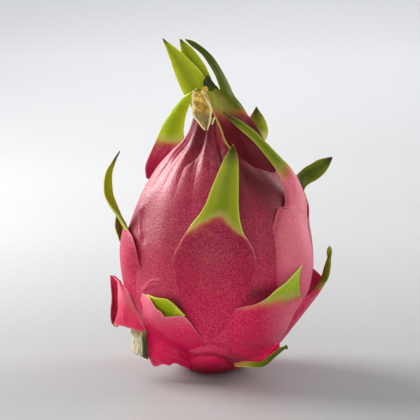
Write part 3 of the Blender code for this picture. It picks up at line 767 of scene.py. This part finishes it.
def make_stem(material):
    """The cut stem: a ridged fibrous peg with a slanting cut and frayed fibres at its top."""
    top, foot = np.array([-33.4, -18.2, 20.0]), np.array([-33.4, -18.9, 9.2])
    rings, columns = 60, 72
    t = np.linspace(0.0, 1.0, rings)[:, None]
    turn = np.linspace(0.0, 2 * math.pi, columns, endpoint=False)[None, :]
    spine = top + (foot - top) * t[..., None]
    radius = 3.3 + 0.45 * np.cos(3 * turn + 0.8) + 0.5 * np.abs(np.sin(6 * turn)) * (0.4 + 0.6 * t)
    rough = np.stack([np.cos(turn) * 3 + 0 * t, np.sin(turn) * 3 + 0 * t, 2.0 * t + 0 * turn], -1)
    radius = radius + 0.7 * noise_at(rough, 0.9, 2.0) - 0.9 * smoothstep(t, 0.0, 0.25) * (1.0 - t)
    offset = np.stack([np.cos(turn) + 0 * t, np.sin(turn) + 0 * t, 0 * turn + 0 * t], -1)
    wall = spine + offset * radius[..., None]
    wall[..., 2] -= 0.5 * offset[..., 0] * radius * smoothstep(t, 0.6, 1.0)
    points = wall.reshape(-1, 3)
    middle = points[-columns:].mean(0) + np.array([0.0, 0.0, 0.5])
    points = np.vstack([points, points[:columns].mean(0), middle])
    faces = grid_faces(rings, columns, flip=True, wrap=True)
    for j in range(columns):
        k = (j + 1) % columns
        faces.append((len(points) - 2, j, k))
        faces.append((len(points) - 1, (rings - 1) * columns + k, (rings - 1) * columns + j))
    around = np.append(np.tile(turn.ravel(), rings), [0.0, 0.0])
    down = np.append(np.repeat(t.ravel(), columns), [0.0, 1.0])
    solids = [(points, faces, {"around": around, "down": down})]
    for i in range(STEM_FIBRES):
        angle = 2 * math.pi * i / STEM_FIBRES + 0.3 * math.sin(5.0 * i)
        out = np.array([math.cos(angle), math.sin(angle), 0.0])
        base = top + out * 2.7 + np.array([0.0, 0.0, -1.5])
        lean = out * (0.8 + 0.5 * math.sin(3.0 * i))
        end = base + lean + np.array([-0.4, 0.0, 1.6 + 1.1 * math.sin(7.0 * i) ** 2])
        solids.append(fibre(base, end, 0.42))
    stand_in("stem_fibres", solids, material, "stem_stub")


def fibre(base, end, radius):
    """A thin tapering spike from base to end."""
    rings, columns = 6, 8
    axis = unit(end - base)
    side = unit(np.cross(axis, np.array([0.3, 0.9, 0.1])))
    other = np.cross(axis, side)
    points = []
    for i in range(rings):
        t = i / (rings - 1)
        width = radius * (1.0 - 0.85 * t)
        for j in range(columns):
            angle = 2 * math.pi * j / columns
            out = side * math.cos(angle) + other * math.sin(angle)
            points.append(base + (end - base) * t + out * width)
    faces = grid_faces(rings, columns, wrap=True)
    faces.append(tuple(reversed(range(columns))))
    faces.append(tuple(range((rings - 1) * columns, rings * columns)))
    return np.array(points), faces, {"around": 2.5, "down": 0.02}


# ---------------------------------------------------------------- materials

class Nodes:
    """A short way to write one material's node tree."""

    def __init__(self, name):
        self.material = bpy.data.materials.new(name)
        self.material.use_nodes = True
        self.tree = self.material.node_tree
        self.shader = self.tree.nodes["Principled BSDF"]

    def add(self, kind, inputs=None, **settings):
        node = self.tree.nodes.new(kind)
        for key, value in settings.items():
            setattr(node, key, value)
        for key, value in (inputs or {}).items():
            self.feed(node.inputs[key], value)
        return node

    def feed(self, socket, value):
        if isinstance(value, bpy.types.NodeSocket):
            self.tree.links.new(value, socket)
        else:
            socket.default_value = value

    def attribute(self, name):
        return self.add("ShaderNodeAttribute", attribute_name=name).outputs["Fac"]

    def position(self):
        return self.add("ShaderNodeTexCoord").outputs["Object"]

    def math(self, operation, a, b=0.0):
        return self.add("ShaderNodeMath", {0: a, 1: b}, operation=operation).outputs[0]

    def times(self, a, b):
        return self.math("MULTIPLY", a, b)

    def ramp(self, value, *stops):
        """A smooth colour ramp from (position, (r, g, b)) stops."""
        node = self.add("ShaderNodeValToRGB", {"Fac": value})
        elements = node.color_ramp.elements
        while len(elements) < len(stops):
            elements.new(0.5)
        for element, (position, colour) in zip(elements, stops):
            element.position = position
            element.color = (*colour, 1.0)
        return node.outputs["Color"]

    def span(self, value, low, high, to_low=0.0, to_high=1.0):
        node = self.add(
            "ShaderNodeMapRange",
            {"Value": value, "From Min": low, "From Max": high, "To Min": to_low, "To Max": to_high},
        )
        return node.outputs["Result"]

    def mix(self, amount, a, b):
        node = self.add("ShaderNodeMix", data_type="RGBA")
        self.feed(node.inputs[0], amount)
        for socket, value in ((node.inputs[6], a), (node.inputs[7], b)):
            self.feed(socket, (*value, 1.0) if isinstance(value, tuple) else value)
        return node.outputs[2]

    def noise(self, vector, scale, detail=3.0, roughness=0.55):
        settings = {"Vector": vector, "Scale": scale, "Detail": detail, "Roughness": roughness}
        return self.add("ShaderNodeTexNoise", settings).outputs["Fac"]

    def cells(self, vector, scale, feature="F1"):
        node = self.add("ShaderNodeTexVoronoi", {"Vector": vector, "Scale": scale}, feature=feature)
        return node.outputs["Distance"]

    def stretch(self, vector, factors):
        settings = {"Vector": vector, "Scale": factors}
        return self.add("ShaderNodeMapping", settings).outputs["Vector"]

    def bump(self, height, strength, distance, normal=None):
        settings = {"Height": height, "Strength": strength, "Distance": distance}
        if normal is not None:
            settings["Normal"] = normal
        return self.add("ShaderNodeBump", settings).outputs["Normal"]


SPECKLES, PEBBLES = 1500.0, 1250.0  # along a metre of rind
# Colours that painted shade darkens towards: crimson on rind, green on leaf.
SHADOW_CRIMSON, SHADOW_GREEN = (0.10, 0.002, 0.006), (0.012, 0.018, 0.002)


def rind_look(n):
    """Adds the rind's nodes to n and returns its colour, normal and roughness."""
    at = n.position()
    height = at_height(n, at)
    broad = n.noise(at, 22.0, 2.0)
    mottle = n.noise(at, 160.0, 4.0)
    colour = n.ramp(broad, (0.3, (0.30, 0.008, 0.036)), (0.7, (0.45, 0.019, 0.078)))
    # The lower rind a brighter hot pink: partly its own colour, partly painted bounce light from the floor.
    low = n.span(height, 0.062, 0.024, 0.0, 0.85)
    colour = n.mix(low, colour, (0.78, 0.022, 0.115))
    colour = n.mix(n.span(mottle, 0.45, 0.75, 0.0, 0.3), colour, (0.58, 0.06, 0.12))
    dots = n.cells(at, SPECKLES)
    colour = n.mix(n.span(dots, 0.4, 0.75, 0.0, 0.5), colour, (0.20, 0.004, 0.02))
    speckle = n.span(dots, 0.1, 0.42, 0.45, 0.0)
    patchy = n.span(n.noise(at, 60.0, 2.0), 0.35, 0.7, 0.45, 1.0)
    colour = n.mix(n.times(speckle, patchy), colour, (0.80, 0.22, 0.29))
    streaks = n.noise(n.stretch(at, (420.0, 420.0, 30.0)), 1.0, 3.0)
    neck = n.span(height, 0.080, 0.108, 0.0, 1.0)
    orange = n.times(neck, n.span(streaks, 0.4, 0.65, 0.0, 0.6))
    colour = n.mix(orange, colour, (0.55, 0.12, 0.10))
    pebbles = n.cells(at, PEBBLES, "SMOOTH_F1")
    normal = n.bump(n.times(pebbles, -1.0), 0.38, 0.0004)
    normal = n.bump(mottle, 0.15, 0.0006, normal)
    normal = n.bump(n.times(streaks, neck), 0.26, 0.0009, normal)
    roughness = n.span(mottle, 0.3, 0.7, 0.40, 0.54)
    return colour, normal, roughness


def finish_skin(n, colour, normal, roughness, subsurface, gloss, dark=SHADOW_CRIMSON):
    """Feeds a look to the shader, darkened by painted shade from the mesh's shade, and returns the
    material.
    """
    shade = n.attribute("shade")
    n.feed(n.shader.inputs["Base Color"], n.mix(shade, colour, dark))
    n.feed(n.shader.inputs["Normal"], normal)
    n.feed(n.shader.inputs["Roughness"], n.math("MAXIMUM", roughness, n.times(shade, 0.85)))
    n.shader.inputs["Subsurface Weight"].default_value = subsurface
    n.shader.inputs["Subsurface Radius"].default_value = (0.9, 0.7, 0.2)
    n.shader.inputs["Subsurface Scale"].default_value = 0.002
    n.shader.inputs["Specular IOR Level"].default_value = gloss
    return n.material


def rind_material():
    n = Nodes("rind_skin")
    return finish_skin(n, *rind_look(n), 0.12, 0.4)


def leaf_material():
    """Rind at the base, turning through salmon to green; paler margins, partly a painted highlight; a dark
    tip.
    """
    n = Nodes("leaf_skin")
    at = n.position()
    rind, rind_normal, rind_roughness = rind_look(n)
    # Painted light: the rind turned pale pink, with paler speckles, where the pale tint says light falls.
    rind = n.mix(n.times(n.attribute("pale"), 0.6), rind, (1.0, 0.31, 0.38))
    grain = n.span(n.cells(at, SPECKLES), 0.3, 0.7, 0.0, 0.45)
    rind = n.mix(n.times(n.attribute("pale"), grain), rind, (0.60, 0.09, 0.16))
    rind = n.mix(n.times(n.attribute("hot"), 0.85), rind, (0.64, 0.0005, 0.074))
    across, along = n.attribute("across"), n.attribute("along")
    inner, age = n.attribute("inner"), n.attribute("age")
    lanes = n.add("ShaderNodeCombineXYZ", {"X": n.times(across, 9.0), "Y": n.times(along, 3.0)})
    streaks = n.noise(lanes.outputs[0], 1.6, 4.0)
    off_centre = n.math("ABSOLUTE", across)
    wander = n.span(n.noise(at, 140.0, 3.0), 0.3, 0.7, -0.12, 0.12)
    green = n.math("ADD", n.attribute("green"), wander)

    young = n.mix(n.span(off_centre, 0.1, 0.9), (0.27, 0.35, 0.001), (0.55, 0.60, 0.02))
    old = n.mix(n.span(off_centre, 0.2, 0.95), (0.035, 0.062, 0.002), (0.12, 0.15, 0.004))
    leaf = n.mix(n.attribute("lush"), n.mix(age, young, old), (0.29, 0.54, 0.003))
    leaf = n.mix(n.span(streaks, 0.35, 0.7, 0.0, 0.45), leaf, (0.24, 0.29, 0.004))
    blush = n.mix(n.span(off_centre, 0.2, 1.0), (0.46, 0.10, 0.035), (0.62, 0.28, 0.08))
    cream = n.mix(age, (0.58, 0.52, 0.12), (0.22, 0.17, 0.03))
    colour = n.mix(n.span(green, 0.05, 0.4), rind, blush)
    colour = n.mix(n.span(green, 0.25, 0.6), colour, cream)
    colour = n.mix(n.span(green, 0.45, 0.92), colour, leaf)

    # Margins: a pale rim, partly the scale's own margin and partly a painted highlight on the lit edge.
    margin = n.span(off_centre, 0.89, 0.98)
    pink_edge = n.mix(n.attribute("pale"), (0.60, 0.11, 0.14), (0.84, 0.42, 0.32))
    pale = n.mix(n.span(green, 0.2, 0.7), pink_edge, (0.60, 0.60, 0.14))
    cushion = n.attribute("cushion")
    colour = n.mix(n.times(n.times(margin, cushion), 0.75), colour, pale)
    # Painted shade: the inner side, facing the body, darkened to crimson where it is still red.
    underside_shade = n.mix(n.span(green, 0.3, 0.8), (0.22, 0.004, 0.02), leaf)
    colour = n.mix(n.times(inner, 0.85), colour, underside_shade)
    tip = n.times(n.span(along, 0.89, 0.97), n.span(green, 0.5, 1.0))
    colour = n.mix(n.times(tip, 0.9), colour, (0.03, 0.02, 0.006))

    is_leaf = n.span(green, 0.3, 0.8)
    normal = n.bump(n.times(streaks, is_leaf), 0.35, 0.0005, rind_normal)
    roughness = n.math("ADD", rind_roughness, n.times(is_leaf, 0.06))
    # The colour that the painted shade darkens towards.
    dark = n.mix(is_leaf, SHADOW_CRIMSON, SHADOW_GREEN)
    return finish_skin(n, colour, normal, roughness, 0.3, 0.16, dark)


def paper_material():
    """Golden crumpled paper with cream rolled edges, olive brown where the light is lost."""
    n = Nodes("dried_petal")
    at = n.position()
    folds = n.noise(at, 520.0, 4.0)
    veins = n.noise(n.stretch(at, (900.0, 900.0, 120.0)), 1.0, 3.0)
    colour = n.ramp(folds, (0.3, (0.20, 0.09, 0.01)), (0.5, (0.62, 0.38, 0.04)), (0.7, (0.86, 0.62, 0.12)))
    colour = n.mix(n.span(veins, 0.5, 0.75, 0.0, 0.5), colour, (0.28, 0.15, 0.04))
    low = n.span(at_height(n, at), 0.1195, 0.1165)
    colour = n.mix(n.times(low, 0.75), colour, (0.17, 0.12, 0.05))
    colour = n.mix(n.span(n.attribute("edge"), 0.76, 0.9), colour, (0.88, 0.76, 0.42))
    n.feed(n.shader.inputs["Base Color"], colour)
    normal = n.bump(folds, 0.5, 0.0008)
    n.feed(n.shader.inputs["Normal"], n.bump(veins, 0.4, 0.0004, normal))
    n.feed(n.shader.inputs["Roughness"], n.span(folds, 0.3, 0.7, 0.5, 0.75))
    n.shader.inputs["Subsurface Weight"].default_value = 0.1
    n.shader.inputs["Subsurface Scale"].default_value = 0.001
    return n.material


def at_height(n, at):
    """The height, in metres, of a position socket."""
    return n.add("ShaderNodeSeparateXYZ", {"Vector": at}).outputs["Z"]


def stem_material():
    """Cream pith and fibre with brown flecks, and one strip of dark green skin."""
    n = Nodes("stem_fibre")
    at = n.position()
    lines = n.noise(n.stretch(at, (1400.0, 1400.0, 130.0)), 1.0, 4.0)
    flecks = n.noise(n.stretch(at, (700.0, 700.0, 350.0)), 1.0, 3.0)
    colour = n.ramp(lines, (0.3, (0.30, 0.27, 0.10)), (0.5, (0.68, 0.66, 0.42)), (0.7, (0.86, 0.85, 0.68)))
    colour = n.mix(n.span(flecks, 0.56, 0.68, 0.0, 0.85), colour, (0.16, 0.09, 0.03))
    around = n.attribute("around")
    from_strip = n.math("ABSOLUTE", n.math("SUBTRACT", around, 5.75))
    colour = n.mix(n.span(from_strip, 0.55, 0.4), colour, (0.035, 0.075, 0.015))
    frayed = n.span(n.attribute("down"), 0.3, 0.05)
    colour = n.mix(n.times(frayed, 0.8), colour, (0.30, 0.19, 0.06))
    n.feed(n.shader.inputs["Base Color"], colour)
    normal = n.bump(lines, 0.7, 0.0006)
    n.feed(n.shader.inputs["Normal"], n.bump(flecks, 0.4, 0.0006, normal))
    n.feed(n.shader.inputs["Roughness"], n.span(lines, 0.3, 0.7, 0.55, 0.8))
    return n.material


# ---------------------------------------------------------------- studio

# The sweep's side view, (y, z) in metres, and its grey along y: shares of SWEEP_SPAN and grey. The grey
# is painted light: darker on the floor and lighter up the wall, standing in for how the lamps fall on it.
SWEEP_PROFILE = (
    (-1.2, 0), (0.25, 0), (0.7, 0.02), (1.1, 0.08), (1.5, 0.22), (1.9, 0.5), (2.2, 0.9), (2.4, 1.5),
    (2.45, 2.2),
)
SWEEP_SPAN = (-0.2, 1.3)
SWEEP_PAINTED_LIGHT = (
    (0.07, 0.4), (0.18, 0.345), (0.33, 0.365), (0.47, 0.42), (0.6, 0.525), (0.75, 0.72), (0.83, 0.8),
    (0.93, 0.78),
)


def area_light(name, place, target, size, power, colour):
    """A soft rectangular light that faces the target."""
    light = bpy.data.lights.new(name, "AREA")
    light.shape = "RECTANGLE"
    light.size, light.size_y = size
    light.energy = power
    light.color = colour
    obj = bpy.data.objects.new(name, light)
    obj.location = place
    obj.rotation_euler = (Vector(target) - Vector(place)).to_track_quat("-Z", "Y").to_euler()
    bpy.context.scene.collection.objects.link(obj)


def make_studio():
    """The sweep, a dim sky and four soft lights."""
    n = Nodes("sweep_paper")
    at = n.position()
    grain = n.noise(at, 400.0, 2.0)
    away = n.add("ShaderNodeSeparateXYZ", {"Vector": at}).outputs["Y"]
    along = n.span(away, *SWEEP_SPAN)
    # Painted light: the grey along y stands in for how the lamps light the floor and wall.
    painted_light_grey = n.ramp(along, *[(share, (g, g * 1.003, g * 1.012)) for share, g in SWEEP_PAINTED_LIGHT])
    painted_light_grey = n.mix(n.span(grain, 0.3, 0.7, 0.0, 0.04), painted_light_grey, (0.6, 0.6, 0.6))
    n.feed(n.shader.inputs["Base Color"], painted_light_grey)
    n.shader.inputs["Roughness"].default_value = 0.42
    n.shader.inputs["Specular IOR Level"].default_value = 0.35
    line = spline([(y, z, 0.0) for y, z in SWEEP_PROFILE], 60) / MM
    points = np.array([(x, y, z) for y, z, _ in line for x in (-1800.0, 1800.0)])
    sweep = add_mesh("sweep", points, grid_faces(60, 2, flip=True), n.material)

    world = bpy.data.worlds.new("studio")
    bpy.context.scene.world = world
    world.use_nodes = True
    background = world.node_tree.nodes["Background"]
    background.inputs["Color"].default_value = (0.93, 0.96, 1.0, 1.0)
    background.inputs["Strength"].default_value = 0.28
    middle = (0.0, 0.0, 0.06)
    area_light("key", (-0.52, 0.34, 0.42), middle, (0.5, 0.5), 10.5, (1.0, 0.98, 0.96))
    area_light("rim", (0.55, 0.25, 0.3), middle, (0.35, 0.5), 3.1, (1.0, 0.98, 0.97))
    area_light("fill", (-0.15, -0.9, 0.16), middle, (0.8, 0.28), 4.6, (1.0, 0.98, 0.96))
    area_light("backdrop", (0.0, 0.5, 0.9), (0.0, 1.6, 0.1), (1.6, 0.8), 11.0, (0.97, 0.98, 1.0))


def make_camera():
    """A long lens, a little above the fruit's middle and level with its front."""
    camera = bpy.data.cameras.new("camera")
    obj = bpy.data.objects.new("camera", camera)
    bpy.context.scene.collection.objects.link(obj)
    distance, rise, width = 1.0, math.radians(8.0), 0.191
    target = Vector((-0.0014, 0.0, 0.0721))
    obj.location = target + Vector((0.0, -math.cos(rise), math.sin(rise))) * distance
    obj.rotation_euler = (target - obj.location).to_track_quat("-Z", "Y").to_euler()
    camera.sensor_width = 36.0
    camera.lens = camera.sensor_width * distance / width
    bpy.context.scene.camera = obj
    bpy.context.scene.view_settings.view_transform = "Standard"


# ---------------------------------------------------------------- the scene

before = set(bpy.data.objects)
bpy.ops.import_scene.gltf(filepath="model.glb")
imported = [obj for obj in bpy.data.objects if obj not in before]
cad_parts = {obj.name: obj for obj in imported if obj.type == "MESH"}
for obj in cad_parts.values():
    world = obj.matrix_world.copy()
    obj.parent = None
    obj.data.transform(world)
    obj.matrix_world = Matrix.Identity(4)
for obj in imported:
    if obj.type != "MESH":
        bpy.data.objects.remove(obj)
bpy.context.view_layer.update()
leaf = leaf_material()
make_body(rind_material())
for scale_name, scale_spec in SCALES.items():
    make_scale(scale_name, scale_spec, leaf)
make_lofts(leaf)
make_dried_flower(paper_material())
make_stem(stem_material())
make_studio()
make_camera()
